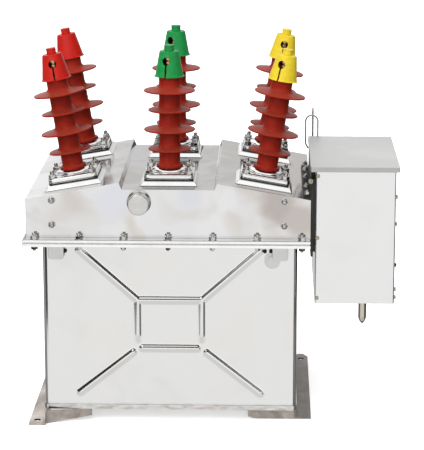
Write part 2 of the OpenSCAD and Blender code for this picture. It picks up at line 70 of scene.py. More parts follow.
class NodeHand:
    # wires the nodes of a material or of the world
    def __init__(self, tree):
        self.tree = tree
        self.coords = tree.nodes.new("ShaderNodeTexCoord")

    def link(self, source, target):
        self.tree.links.new(source, target)

    def feed(self, socket, value):
        if isinstance(value, bpy.types.NodeSocket):
            self.link(value, socket)
        elif isinstance(value, tuple) and len(value) == 3 and socket.type == "RGBA":
            socket.default_value = (*value, 1.0)
        elif value is not None:
            socket.default_value = value

    def split(self, vector):
        node = self.tree.nodes.new("ShaderNodeSeparateXYZ")
        self.link(vector, node.inputs["Vector"])
        return node.outputs

    def ramp(self, value, *stops):
        # stops: (place, grey) or (place, colour)
        node = self.tree.nodes.new("ShaderNodeValToRGB")
        elements = node.color_ramp.elements
        while len(elements) < len(stops):
            elements.new(0.5)
        for element, (place, color) in zip(elements, stops):
            element.position = place
            element.color = (*color, 1.0) if isinstance(color, tuple) else (color, color, color, 1.0)
        self.link(value, node.inputs["Fac"])
        return node.outputs["Color"]

    def span(self, value, low, high, fromLow=0.0, fromHigh=1.0, smooth=False):
        node = self.tree.nodes.new("ShaderNodeMapRange")
        node.interpolation_type = "SMOOTHSTEP" if smooth else "LINEAR"
        ends = {"From Min": fromLow, "From Max": fromHigh, "To Min": low, "To Max": high}
        for name, number in ends.items():
            node.inputs[name].default_value = number
        self.link(value, node.inputs["Value"])
        return node.outputs["Result"]

    def math(self, operation, a, b=None):
        node = self.tree.nodes.new("ShaderNodeMath")
        node.operation = operation
        for socket, value in zip(node.inputs, (a, b)):
            self.feed(socket, value)
        return node.outputs["Value"]

    def times(self, first, *others):
        for other in others:
            first = self.math("MULTIPLY", first, other)
        return first

    def mix(self, factor, a, b):
        node = self.tree.nodes.new("ShaderNodeMix")
        node.data_type = "RGBA"
        for index, value in ((0, factor), (6, a), (7, b)):
            self.feed(node.inputs[index], value)
        return node.outputs[2]


class Finish(NodeHand):
    # one material: patterns in object space feed its colour, roughness and bump
    def __init__(self, name, color, metallic=0.0, roughness=0.5, specular=0.5):
        self.material = bpy.data.materials.new(name)
        self.material.use_nodes = True
        super().__init__(self.material.node_tree)
        self.surface = self.tree.nodes["Principled BSDF"]
        self.surface.inputs["Base Color"].default_value = (*color, 1.0)
        self.surface.inputs["Metallic"].default_value = metallic
        self.surface.inputs["Roughness"].default_value = roughness
        self.surface.inputs["Specular IOR Level"].default_value = specular
        self.normal = None

    def place(self, scale=(1, 1, 1), move=(0, 0, 0)):
        node = self.tree.nodes.new("ShaderNodeMapping")
        node.inputs["Scale"].default_value = scale
        node.inputs["Location"].default_value = move
        self.link(self.coords.outputs["Object"], node.inputs["Vector"])
        return node.outputs["Vector"]

    def noise(self, size, scale=(1, 1, 1), detail=4.0, rough=0.55, warp=0.0, move=(0, 0, 0)):
        # size is the pattern's grain in metres
        node = self.tree.nodes.new("ShaderNodeTexNoise")
        node.inputs["Scale"].default_value = 1.0 / size
        node.inputs["Detail"].default_value = detail
        node.inputs["Roughness"].default_value = rough
        node.inputs["Distortion"].default_value = warp
        self.link(self.place(scale, move), node.inputs["Vector"])
        return node.outputs["Fac"]

    def reach(self, point, axes=2):
        # distance from an upright axis through point, or with 3 axes from the point itself
        total = 0.0
        for part in self.split(self.place(move=tuple(-p for p in point)))[:axes]:
            total = self.math("ADD", self.times(part, part), total)
        return self.math("SQRT", total)

    def bump(self, height, distance, strength=1.0):
        node = self.tree.nodes.new("ShaderNodeBump")
        node.inputs["Distance"].default_value = distance
        node.inputs["Strength"].default_value = strength
        self.link(height, node.inputs["Height"])
        if self.normal:
            self.link(self.normal, node.inputs["Normal"])
        self.normal = node.outputs["Normal"]
        return self

    def upward(self):
        geometry = self.tree.nodes.new("ShaderNodeNewGeometry")
        return self.split(geometry.outputs["Normal"])["Z"]

    def done(self, color, roughness=None):
        self.feed(self.surface.inputs["Base Color"], color)
        self.feed(self.surface.inputs["Roughness"], roughness)
        self.feed(self.surface.inputs["Normal"], self.normal)
        return self.material


def shaded(color, factor):
    return tuple(min(1.0, c * factor) for c in color)


# stainless sheets: below the height foot they go darker and brownish, face is how much darker upright parts
# are as painted shade, lean how far the warm clouds keep toward +X, and a patch of painted reflection is
# (centre, radius, colour)
sheetFinish = {
    "tank": {"color": (0.690, 0.692, 0.684), "warm": (0.700, 0.682, 0.662), "roughness": (0.13, 0.19),
             "grain": (1.0, 1.0, 30.0), "wave": 0.0006, "foot": 0.046},
    # the cover's warm clouds, their lean toward +X and its patches are painted reflections
    "cover": {"color": (0.700, 0.700, 0.702), "warm": (0.590, 0.550, 0.515), "roughness": (0.09, 0.16),
              "grain": (1.0, 24.0, 24.0), "wave": 0.0010, "lean": 0.26, "reflectionPatches": [
                  ((0.195, -0.331, 0.665), 0.085, (0.437, 0.402, 0.378)),
                  ((0.262, -0.331, 0.610), 0.060, (0.485, 0.450, 0.425)),
                  ((-0.275, -0.331, 0.676), 0.066, (0.645, 0.652, 0.686)),
                  ((-0.060, -0.331, 0.678), 0.060, (0.630, 0.636, 0.665))]},
    "box": {"color": (0.720, 0.720, 0.716), "warm": (0.715, 0.710, 0.695), "roughness": (0.17, 0.24),
            "grain": (24.0, 24.0, 1.0), "wave": 0.0004},
}
# the lid: painted shade on its upright faces and a paler patch of painted reflection to the right
sheetFinish["lid"] = dict(sheetFinish["box"], roughness=(0.36, 0.48), face=0.62, reflectionPatches=[
    ((0.500, -0.160, 0.772), 0.120, (0.760, 0.755, 0.740))])


def sheetSteel(name, color, warm, roughness, grain, wave, face=1.0, lean=0.0, shadeBands=(), reflectionPatches=(), foot=None):
    # rolling lines, cool and warm clouds, smears; a shade band is (x, y, half width, depth) of a soft dark
    # band of painted shade
    f = Finish(name + "Steel", color, metallic=1.0)
    cloud = f.noise(0.18, detail=1.5, warp=1.2)
    blot = f.noise(0.24, detail=3.0, warp=0.4, move=(2.3, 0.7, 1.1))
    lines = f.noise(0.008, scale=grain, detail=5.0, rough=0.65)
    smear = f.noise(0.06, scale=(1.0, 1.0, 0.5), detail=4.0, move=(3.1, 1.7, 0.4))
    x, y, z = f.split(f.coords.outputs["Object"])
    # painted reflection on the cover: lean pushes the warm clouds toward +X
    cloud = f.math("ADD", cloud, f.span(x, 0.0, lean, -0.13, 0.22))
    tone = f.mix(f.span(cloud, 0.0, 1.0, 0.46, 0.74, smooth=True), color, warm)
    tone = f.mix(f.span(blot, 0.0, 0.5, 0.52, 0.74, smooth=True), tone, shaded(color, 0.90))
    tone = f.mix(f.span(lines, 0.0, 0.10, 0.3, 0.8), tone, shaded(color, 0.84))
    # painted shade: soft dark bands, on the cover the shade in front of each seat
    for shadeX, shadeY, half, deep in shadeBands:
        aside = f.math("ABSOLUTE", f.math("SUBTRACT", x, shadeX))
        beside = f.span(aside, 1.0, 0.0, half - 0.004, half + 0.008)
        ahead = f.span(y, 0.0, 1.0, shadeY - deep, shadeY)
        behind = f.span(y, 1.0, 0.0, shadeY + 0.01, shadeY + 0.02)
        tone = f.mix(f.times(beside, ahead, behind), tone, shaded(warm, 0.62))
    # painted reflections: soft patches of given colour
    for center, radius, reflectedTone in reflectionPatches:
        away = f.math("ADD", f.reach(center, 3), f.span(blot, radius * 0.5, -radius * 0.5, 0.3, 0.7))
        tone = f.mix(f.span(away, 1.0, 0.0, radius * 0.3, radius, smooth=True), tone, reflectedTone)
    # darker and brownish towards the bottom
    if foot:
        lowNoise = f.noise(0.035, scale=(1.0, 1.0, 4.0), detail=5.0)
        lowDarkening = f.times(f.span(z, 1.0, 0.0, foot, foot + 0.014), f.span(lowNoise, 0.16, 0.75, 0.40, 0.72))
        tone = f.mix(lowDarkening, tone, (0.30, 0.245, 0.205))
    # painted shade: upright faces darker by the factor face
    if face < 1.0:
        tone = f.mix(f.span(f.upward(), 1.0, 0.0, 0.3, 0.9), tone, shaded(color, face))
    rough = f.math("ADD", f.span(smear, roughness[0], roughness[1], 0.3, 0.7), f.span(lines, -0.015, 0.015))
    f.bump(f.noise(0.30, detail=1.0), wave).bump(lines, 0.000006, 0.5)
    return f.done(tone, rough)


def brightMetal(name, color, roughness, wave=0.0001, top=1.0):
    # machined or polished steel with faint stains; top darkens what faces up as painted shade
    f = Finish(name, color, metallic=1.0)
    fine = f.noise(0.004, detail=3.0)
    wide = f.noise(0.05, detail=2.0)
    tone = f.mix(f.span(wide, 0.0, 0.35, 0.40, 0.72), color, shaded(color, 0.80))
    # painted shade: faces that look up are darker
    if top < 1.0:
        tone = f.mix(f.span(f.upward(), 0.0, 1.0, 0.5, 0.9), tone, shaded(color, top))
    f.bump(wide, wave).bump(fine, 0.000008, 0.5)
    return f.done(tone, f.span(fine, roughness[0], roughness[1], 0.3, 0.7))


def turnedFace(name, color, axisPoint, roughness):
    # concentric tool marks round a Y axis through axisPoint
    f = Finish(name, color, metallic=1.0)
    x, y, z = f.split(f.place(move=(-axisPoint.x, -axisPoint.y, -axisPoint.z)))
    radius = f.math("SQRT", f.math("ADD", f.times(x, x), f.times(z, z)))
    ringTurn = 2600.0  # radians a metre
    rings = f.math("SINE", f.times(radius, ringTurn))
    wide = f.noise(0.03, detail=2.0)
    sheen = f.math("COSINE", f.times(f.math("ARCTAN2", z, x), 2.0))
    tone = f.mix(f.span(sheen, 0.0, 0.35, -1.0, 1.0), color, shaded(color, 0.80))
    tone = f.mix(f.span(wide, 0.0, 0.3, 0.4, 0.7), tone, shaded(color, 0.86))
    f.bump(rings, 0.00003, 0.35)
    return f.done(tone, f.span(wide, roughness[0], roughness[1], 0.3, 0.7))


def rubberSkin(name, color):
    f = Finish(name, color, specular=0.3)
    grain = f.noise(0.0012, detail=3.0)
    dust = f.noise(0.03, detail=4.0)
    tone = f.mix(f.span(dust, 0.0, 0.30, 0.45, 0.8), color, tuple(c + 0.04 for c in color))
    f.bump(grain, 0.00006, 0.5)
    return f.done(tone, f.span(dust, 0.45, 0.62, 0.3, 0.7))


silicone = {"color": (0.250, 0.0165, 0.0075), "deep": (0.165, 0.008, 0.005), "dustAndSheen": (0.24, 0.042, 0.024),
            "roughness": (0.24, 0.34)}


def siliconeSkin():
    # brick red silicone rubber, paler where it faces up: dust and a painted sheen
    f = Finish("brickSilicone", silicone["color"], specular=0.05)
    cloud = f.noise(0.022, detail=3.0)
    fine = f.noise(0.0016, detail=4.0)
    tone = f.mix(f.span(cloud, 0.0, 0.7, 0.35, 0.7), silicone["color"], silicone["deep"])
    # dust and painted sheen: paler where the skin faces up
    dustAndSheen = f.times(f.span(f.upward(), 0.0, 1.0, 0.60, 0.98), f.span(cloud, 0.35, 0.75, 0.3, 0.7))
    tone = f.mix(dustAndSheen, tone, silicone["dustAndSheen"])
    f.bump(f.noise(0.018, detail=1.0), 0.0003).bump(fine, 0.00003, 0.5)
    return f.done(tone, f.span(fine, *silicone["roughness"]))


capGloss = {"Coat Weight": 0.07, "Coat Roughness": 0.10, "Subsurface Weight": 0.06,
            "Subsurface Radius": (0.004, 0.003, 0.002), "Subsurface Scale": 1.0}


def capPlastic(name, color, shade):
    # soft moulded caps: slightly uneven skin that breaks the gloss up
    f = Finish(name, color, specular=0.14)
    cloud = f.noise(0.014, detail=3.0)
    fine = f.noise(0.0014, detail=3.0)
    tone = f.mix(f.span(cloud, 0.0, 0.6, 0.35, 0.7), color, shade)
    for socket, value in capGloss.items():
        f.surface.inputs[socket].default_value = value
    f.bump(f.noise(0.022, scale=(1.0, 1.0, 0.35), detail=1.0), 0.0012).bump(fine, 0.00003, 0.4)
    return f.done(tone, f.span(fine, 0.26, 0.36))


def brassMetal():
    color = (0.62, 0.43, 0.20)
    f = Finish("terminalBrass", color, metallic=1.0)
    stain = f.noise(0.009, detail=5.0)
    tone = f.ramp(stain, (0.30, (0.36, 0.22, 0.09)), (0.6, color), (0.8, (0.72, 0.54, 0.28)))
    f.bump(stain, 0.00005)
    return f.done(tone, f.span(stain, 0.38, 0.24, 0.3, 0.7))


railTones = {"dark": (0.125, 0.105, 0.092), "mid": (0.215, 0.190, 0.172), "light": (0.33, 0.305, 0.285),
             "rust": (0.17, 0.095, 0.06)}
# where painted shade fills the rails' bolt holes: centres and soft radius
holeShade = {"at": ((-0.5095, -0.331, 0.0), (-0.5095, 0.304, 0.0), (0.2735, 0.304, 0.0)),
             "radius": (0.0096, 0.0106)}


def railSkin(name, lift=1.0):
    # dull galvanised steel, brownish, with stains and specks; painted shade inside the bolt holes; lift above
    # 1 is painted light
    f = Finish(name, railTones["mid"], metallic=0.55)
    stain = f.noise(0.045, scale=(1.0, 0.4, 1.0), detail=6.0, rough=0.62, warp=0.5)
    speck = f.noise(0.0035, detail=4.0)
    # painted light: lift brightens every tone for a lit copy
    dark, mid, light, rust = (shaded(railTones[key], lift) for key in ("dark", "mid", "light", "rust"))
    tone = f.ramp(stain, (0.30, dark), (0.5, mid), (0.72, light))
    tone = f.mix(f.span(speck, 0.0, 0.4, 0.56, 0.8), tone, rust)
    # painted shade: near black inside each bolt hole
    for point in holeShade["at"]:
        tone = f.mix(f.span(f.reach(point), 1.0, 0.0, *holeShade["radius"]), tone, (0.012, 0.010, 0.009))
    f.bump(speck, 0.00012, 0.6)
    return f.done(tone, f.span(stain, 0.30, 0.46, 0.3, 0.7))


def blackPaint():
    f = Finish("blackPlate", (0.014, 0.013, 0.013), specular=0.35)
    stain = f.noise(0.03, scale=(1.0, 1.0, 0.25), detail=5.0)
    fine = f.noise(0.002, detail=3.0)
    worn = (0.080, 0.068, 0.062)
    tone = f.ramp(stain, (0.40, (0.009, 0.008, 0.008)), (0.66, (0.022, 0.018, 0.017)), (0.86, worn))
    f.bump(fine, 0.00005, 0.5)
    return f.done(tone, f.span(stain, 0.28, 0.46, 0.3, 0.7))


def knobMetal():
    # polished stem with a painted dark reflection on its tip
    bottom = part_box("release_knob")[0].z
    color = (0.50, 0.46, 0.40)
    f = Finish("knobMetal", color, metallic=1.0)
    uneven = f.span(f.noise(0.006, detail=3.0), -0.0015, 0.0015)
    height = f.math("ADD", f.split(f.coords.outputs["Object"])["Z"], uneven)
    # painted reflection: the tip goes dark
    tip = f.span(height, 1.0, 0.0, bottom + 0.006, bottom + 0.010)
    tone = f.mix(tip, color, (0.03, 0.028, 0.026))
    f.bump(f.noise(0.002, detail=3.0), 0.00001, 0.5)
    return f.done(tone, f.span(tip, 0.07, 0.4))


# painted shade: where the dark band on the roof in front of each seat lies
seatShade = {"ahead": 0.014, "half": 0.080, "deep": 0.045}  # the dark band in front of each seat, metres
seatShades = []
for row, column in bushings:
    low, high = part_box("clamp_%s_%s" % (row, column))
    seatShades.append(((low.x + high.x) / 2, low.y - seatShade["ahead"], seatShade["half"], seatShade["deep"]))
bossLow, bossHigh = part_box("cover_boss")
finishes = {
    "tank_steel": sheetSteel("tank", **sheetFinish["tank"]),
    "cover_steel": sheetSteel("cover", **sheetFinish["cover"], shadeBands=seatShades),
    "box_steel": sheetSteel("box", **sheetFinish["box"]),
    "seat_steel": brightMetal("seatSteel", (0.78, 0.78, 0.775), (0.06, 0.11)),
    # the flanges get painted shade on their tops
    "flange_steel": brightMetal("flangeSteel", (0.84, 0.84, 0.835), (0.08, 0.14), wave=0.0002, top=0.52),
    "clamp_steel": brightMetal("clampSteel", (0.78, 0.78, 0.775), (0.10, 0.16)),
    "lug_steel": brightMetal("lugSteel", (0.56, 0.56, 0.55), (0.26, 0.38)),
    "knob_polish": knobMetal(),
    "gasket_rubber": rubberSkin("blackRubber", (0.016, 0.015, 0.015)),
    "black_plate": blackPaint(),
    "red_silicone": siliconeSkin(),
    "red_cap": capPlastic("redCap", (0.41, 0.0085, 0.0035), (0.30, 0.006, 0.002)),
    "green_cap": capPlastic("greenCap", (0.006, 0.215, 0.046), (0.004, 0.140, 0.030)),
    "yellow_cap": capPlastic("yellowCap", (0.61, 0.465, 0.022), (0.50, 0.36, 0.012)),
    "terminal_brass": brassMetal(),
    "rail_paint": railSkin("railSteel"),
    "grey_gasket": rubberSkin("greyGasket", (0.56, 0.55, 0.54)),
    # brighter copies of the rail finish: painted light on the left rail and the cross plates
    "lit_rail": railSkin("litRail", 2.1),
    "lit_cross": railSkin("litCross", 1.45),
    "lid_steel": sheetSteel("lid", **sheetFinish["lid"]),
    "turned_boss": turnedFace("turnedBoss", (0.59, 0.58, 0.565), (bossLow + bossHigh) / 2, (0.22, 0.32)),
    "bolt_steel": brightMetal("boltSteel", (0.50, 0.49, 0.475), (0.04, 0.08)),
    "white_nut": brightMetal("whiteNut", (0.86, 0.86, 0.85), (0.28, 0.40)),
    "wire_steel": brightMetal("wireSteel", (0.40, 0.40, 0.39), (0.20, 0.30)),
    "black_bolt": brightMetal("blackBolt", (0.030, 0.028, 0.028), (0.25, 0.38)),
    "olive_screw": brightMetal("oliveScrew", (0.34, 0.32, 0.24), (0.10, 0.20)),
}

slotOf = {part["node"]: part["material_slot"] for part in frame["record"]["subparts"]}
ownFinish = {  # nodes that look different from the rest of their slot
    "cover_gasket": "grey_gasket", "cover_boss": "turned_boss", "bushing_seats": "seat_steel",
    "lifting_rings": "wire_steel", "box_lid": "lid_steel", "rail_left": "lit_rail",
    "cross_left": "lit_cross", "cross_right": "lit_cross",
}


def nodeFinish(node):
    return finishes[ownFinish.get(node, slotOf[node])]


def dress(obj, material):
    obj.data.materials.clear()
    obj.data.materials.append(material)


for name, obj in nodes.items():
    dress(obj, nodeFinish(name))
print("materials set:", len(finishes))


def addObject(name, mesh):
    obj = bpy.data.objects.new(name, mesh)
    bpy.context.scene.collection.objects.link(obj)
    return obj


def smoothByAngle(mesh, degrees):
    mesh.polygons.foreach_set("use_smooth", [True] * len(mesh.polygons))
    mesh.set_sharp_from_angle(angle=math.radians(degrees))


def applyModifiers(obj):
    graph = bpy.context.evaluated_depsgraph_get()
    mesh = bpy.data.meshes.new_from_object(obj.evaluated_get(graph), depsgraph=graph)
    obj.modifiers.clear()
    old = obj.data
    obj.data = mesh
    bpy.data.meshes.remove(old)


def weighNormals(obj):
    weigh = obj.modifiers.new("normals", "WEIGHTED_NORMAL")
    weigh.keep_sharp = True
    applyModifiers(obj)


def finish(obj, material, replaced=()):
    dress(obj, material)
    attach(obj, "root")
    if replaced:
        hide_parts(*replaced)


edgeWidths = {  # metres rounded off each node's sharp edges
    "cover_shell": 0.0036, "cover_flange": 0.0022, "tank_flange": 0.0012, "box_body": 0.0015,
    "box_lid": 0.0016, "mount_plate": 0.0010, "rail_left": 0.0012, "rail_right": 0.0012,
    "cross_left": 0.0008, "cross_right": 0.0008, "bushing_seats": 0.0028, "hoist_lugs": 0.0012,
}
# degrees: faces within flat are merged, edges over sharp rounded, and edges over smooth shaded as edges
edgeRounding = {"segments": 3, "flat": 0.6, "sharp": 40, "smooth": 38}


def softened(node, width):
    # a merged copy of a CAD node with its sharp edges rounded, as bent and ground metal has them
    mesh = nodes[node].data.copy()
    obj = addObject(node + "_rounded", mesh)
    flat = math.radians(edgeRounding["flat"])
    edit = bmesh.new()
    edit.from_mesh(mesh)
    bmesh.ops.remove_doubles(edit, verts=edit.verts, dist=0.00002)
    bmesh.ops.dissolve_limit(edit, angle_limit=flat, verts=edit.verts, edges=edit.edges)
    edit.to_mesh(mesh)
    edit.free()
    bevel = obj.modifiers.new("edges", "BEVEL")
    bevel.width = width
    bevel.segments = edgeRounding["segments"]
    bevel.limit_method = "ANGLE"
    bevel.angle_limit = math.radians(edgeRounding["sharp"])
    bevel.use_clamp_overlap = True
    bevel.miter_outer = "MITER_ARC"
    applyModifiers(obj)
    smoothByAngle(obj.data, edgeRounding["smooth"])
    weighNormals(obj)
    finish(obj, nodeFinish(node), (node,))


for node, width in edgeWidths.items():
    softened(node, width)
print("edges rounded:", len(edgeWidths))

# a bead's width, height and the part of its length over which it runs out flat; the radius of the wall's
# corners, the degrees between their points and the step between all others
pressing = {"width": 0.027, "out": 0.006, "fade": 0.25, "corner": 0.017, "cornerTurn": 6, "step": 0.0027}
# beads of the right half: both ends (distance from the middle line, height), and whether it runs out flat
beadLines = [
    ((0.0, 0.2255), (0.080, 0.2255), False),
    ((0.0, 0.3705), (0.093, 0.3705), False),
    ((0.093, 0.3705), (0.093, 0.2360), True),
    ((0.093, 0.3705), (0.262, 0.5205), False),
    ((0.107, 0.2135), (0.264, 0.0895), False),
]


def sineCosine(degrees):
    return math.sin(math.radians(degrees)), math.cos(math.radians(degrees))


def beadHeight(x, z):
    best = 0.0
    for (x0, z0), (x1, z1), fades in beadLines:
        dx, dz = x1 - x0, z1 - z0
        t = max(0.0, min(1.0, ((abs(x) - x0) * dx + (z - z0) * dz) / (dx * dx + dz * dz)))
        away = math.hypot(abs(x) - x0 - t * dx, z - z0 - t * dz) / (pressing["width"] / 2)
        if away < 1.0:
            rise = 0.5 * (1 + math.cos(math.pi * away))
            if fades:
                rise = rise * 0.5 * (1 - math.cos(math.pi * min(1.0, (1 - t) / pressing["fade"])))
            best = max(best, rise)
    return pressing["out"] * best


def tankBody():
    # sheet walls with round corners; front and back carry the smooth pressed beads
    low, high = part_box("tank_shell")
    mid = (low + high) / 2
    corner, out, step = pressing["corner"], pressing["out"], pressing["step"]
    halfX, halfY = (high.x - low.x) / 2 - corner, (high.y - low.y) / 2 - out - corner
    acrossCount = round(2 * halfX / step)
    outline = []  # x, y, which way a bead lifts it: -1 front, 1 back

    def cornerPoints(sideX, sideY, first):
        for a in range(first, first + 90, pressing["cornerTurn"]):
            s, t = sineCosine(a)
            outline.append((sideX * halfX + corner * t, sideY * halfY + corner * s, 0))

    for i in range(acrossCount):
        outline.append((-halfX + 2 * halfX * i / acrossCount, -halfY - corner, -1))
    cornerPoints(1, -1, -90)
    cornerPoints(1, 1, 0)
    for i in range(acrossCount):
        outline.append((halfX - 2 * halfX * i / acrossCount, halfY + corner, 1))
    cornerPoints(-1, 1, 90)
    cornerPoints(-1, -1, 180)
    levels = round((high.z - low.z) / step)
    edit = bmesh.new()
    previous = None
    for k in range(levels + 1):
        z = low.z + (high.z - low.z) * k / levels
        ring = []
        for x, y, lifted in outline:
            lift = lifted * beadHeight(x, z) if lifted else 0.0
            ring.append(edit.verts.new((mid.x + x, mid.y + y + lift, z)))
        if previous:
            for i in range(len(ring)):
                j = (i + 1) % len(ring)
                edit.faces.new((previous[i], previous[j], ring[j], ring[i]))
        else:
            edit.faces.new(list(reversed(ring)))
        previous = ring
    edit.faces.new(previous)
    bmesh.ops.triangulate(edit, faces=[face for face in edit.faces if len(face.verts) > 4])
    mesh = bpy.data.meshes.new("tank_body")
    edit.to_mesh(mesh)
    edit.free()
    obj = addObject("tank_body", mesh)
    smoothByAngle(mesh, 40)
    weighNormals(obj)
    finish(obj, finishes["tank_steel"], ("tank_shell",))
    return obj


tank = tankBody()
print("tank pressed:", len(tank.data.polygons), "faces")

clampShape = {  # metres, tilt in degrees; heights are above the roof along the bushing's axis
    "half": 0.0716, "corner": 0.0125, "bottom": 0.0195, "top": 0.032, "edge": 0.0052,
    "skirt": 0.0166, "skirtEdge": 0.0022, "weld": 0.0035, "weldRise": 0.8,
    "collar": 0.0535, "collarFoot": 0.0028, "collarTop": 0.0435, "bulge": 0.8,
    "dish": 0.0405, "rim": 0.0012, "rimDrop": 0.0010, "bore": 0.0270, "stud": 0.0575,
    "tilt": 9.8745, "points": 120,
}


def bushingFrame(row, column):
    # the frame of one bushing, its axis up and its foot on the roof, from its clamp's CAD box
    low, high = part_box("clamp_%s_%s" % (row, column))
    tilt = math.radians(clampShape["tilt"]) * columns[column]
    middle = (low + high) / 2
    drop = clampShape["half"] * math.sin(abs(tilt)) - clampShape["bottom"] * math.cos(tilt)
    plateMid = (clampShape["bottom"] + clampShape["top"]) / 2
    foot = Vector((middle.x - plateMid * math.sin(tilt), middle.y, low.z + drop))
    return Matrix.Translation(foot) @ Matrix.Rotation(tilt, 4, "Y")


def squareRing(half, z):
    # points round a square with round corners, spaced by angle
    corner = clampShape["corner"]
    flat = half - corner
    ring = []
    for i in range(clampShape["points"]):
        a = 2 * math.pi * i / clampShape["points"]
        dx, dy = math.cos(a), math.sin(a)
        reach = half / max(abs(dx), abs(dy))
        if min(abs(dx), abs(dy)) * reach > flat:  # on a corner: meet the round
            b = abs(dx) * flat + abs(dy) * flat
            reach = b + math.sqrt(max(0.0, b * b - (2 * flat * flat - corner * corner)))
        ring.append((dx * reach, dy * reach, z))
    return ring


def roundRing(radius, z):
    ring = []
    for i in range(clampShape["points"]):
        a = 2 * math.pi * i / clampShape["points"]
        ring.append((radius * math.cos(a), radius * math.sin(a), z))
    return ring


def lofted(name, rings, matrix):
    # a closed skin over rings of equal length, the last joined to the first
    edit = bmesh.new()
    loops = [[edit.verts.new(matrix @ Vector(point)) for point in ring] for ring in rings]
    for lower, upper in zip(loops, loops[1:] + loops[:1]):
        for i in range(len(lower)):
            j = (i + 1) % len(lower)
            edit.faces.new((lower[i], lower[j], upper[j], upper[i]))
    bmesh.ops.recalc_face_normals(edit, faces=edit.faces)
    mesh = bpy.data.meshes.new(name)
    edit.to_mesh(mesh)
    edit.free()
    return addObject(name, mesh)


def clampPlate(row, column):
    # a bull-nosed square plate with a dished collar welded round the bushing's foot
    c = clampShape
    half, low, top, weld = c["half"], c["skirt"], c["top"], c["weld"]
    rings = [roundRing(c["bore"], low), squareRing(half - c["skirtEdge"], low)]
    for a in (30, 60, 90):
        s, t = sineCosine(a)
        rings.append(squareRing(half - c["skirtEdge"] * (1 - s), low + c["skirtEdge"] * (1 - t)))
    for a in range(0, 91, 10):
        s, t = sineCosine(a)
        rings.append(squareRing(half - c["edge"] * (1 - t), top - c["edge"] * (1 - s)))
    rings.append(roundRing(c["collar"] + weld, top))
    for a in range(15, 91, 15):  # weld run
        s, t = sineCosine(a)
        rings.append(roundRing(c["collar"] + weld * t, top + weld * c["weldRise"] * s))
    foot = top + c["collarFoot"]
    for i in range(1, 9):  # coned collar, its rim rounded over
        t = i / 8
        rise = math.sin(math.pi / 2 * t) ** c["bulge"]
        radius = c["collar"] + (c["dish"] - c["collar"]) * t
        rings.append(roundRing(radius, foot + (c["collarTop"] - foot) * rise))
    rings.append(roundRing(c["dish"] - c["rim"], c["collarTop"] - c["rimDrop"]))
    rings.append(roundRing(c["bore"], c["collarTop"] - c["rim"]))
    name = "clamp_%s_%s" % (row, column)
    obj = lofted(name + "_plate", rings, bushingFrame(row, column))
    smoothByAngle(obj.data, 32)
    finish(obj, finishes["clamp_steel"], (name,))


for row, column in bushings:
    clampPlate(row, column)
print("clamps made:", len(bushings))

fastenerInputs = [  # name, kind, default; sizes in metres
    ("Across Flats", "NodeSocketFloat", 0.017), ("Head Height", "NodeSocketFloat", 0.008),
    ("Chamfer", "NodeSocketFloat", 0.94), ("Washer Radius", "NodeSocketFloat", 0.011),
    ("Washer Thickness", "NodeSocketFloat", 0.0015), ("Stud Radius", "NodeSocketFloat", 0.005),
    ("Stud Length", "NodeSocketFloat", 0.016), ("Thread Pitch", "NodeSocketFloat", 0.0015),
    ("Thread Depth", "NodeSocketFloat", 0.0004), ("Dome Radius", "NodeSocketFloat", 0.0),
    ("Metal", "NodeSocketMaterial", None),
]


class TreeHand:
    # builds a geometry nodes tree
    def __init__(self, name, inputs):
        self.tree = bpy.data.node_groups.new(name, "GeometryNodeTree")
        face = self.tree.interface
        face.new_socket(name="Geometry", in_out="INPUT", socket_type="NodeSocketGeometry")
        for label, kind, value in inputs:
            socket = face.new_socket(name=label, in_out="INPUT", socket_type=kind)
            if value is not None:
                socket.default_value = value
        face.new_socket(name="Geometry", in_out="OUTPUT", socket_type="NodeSocketGeometry")
        self.given = self.tree.nodes.new("NodeGroupInput")
        self.result = self.tree.nodes.new("NodeGroupOutput")

    def want(self, label):
        return self.given.outputs[label]

    def plug(self, socket, value):
        if isinstance(value, bpy.types.NodeSocket):
            self.tree.links.new(value, socket)
        elif value is not None:
            socket.default_value = value

    def add(self, kind, settings=None, **plugs):
        node = self.tree.nodes.new(kind)
        for key, value in (settings or {}).items():
            setattr(node, key, value)
        for key, value in plugs.items():
            self.plug(node.inputs[key.replace("_", " ")], value)
        return node

    def calc(self, operation, a, b=None, c=None):
        node = self.add("ShaderNodeMath", {"operation": operation})
        for socket, value in zip(node.inputs, (a, b, c)):
            self.plug(socket, value)
        return node.outputs[0]

    def vector(self, x=0.0, y=0.0, z=0.0):
        node = self.add("ShaderNodeCombineXYZ")
        for socket, value in zip(node.inputs, (x, y, z)):
            self.plug(socket, value)
        return node.outputs[0]

    def moved(self, geometry, x=0.0, y=0.0, z=0.0):
        step = self.vector(x, y, z)
        return self.add("GeometryNodeTransform", Geometry=geometry, Translation=step).outputs[0]


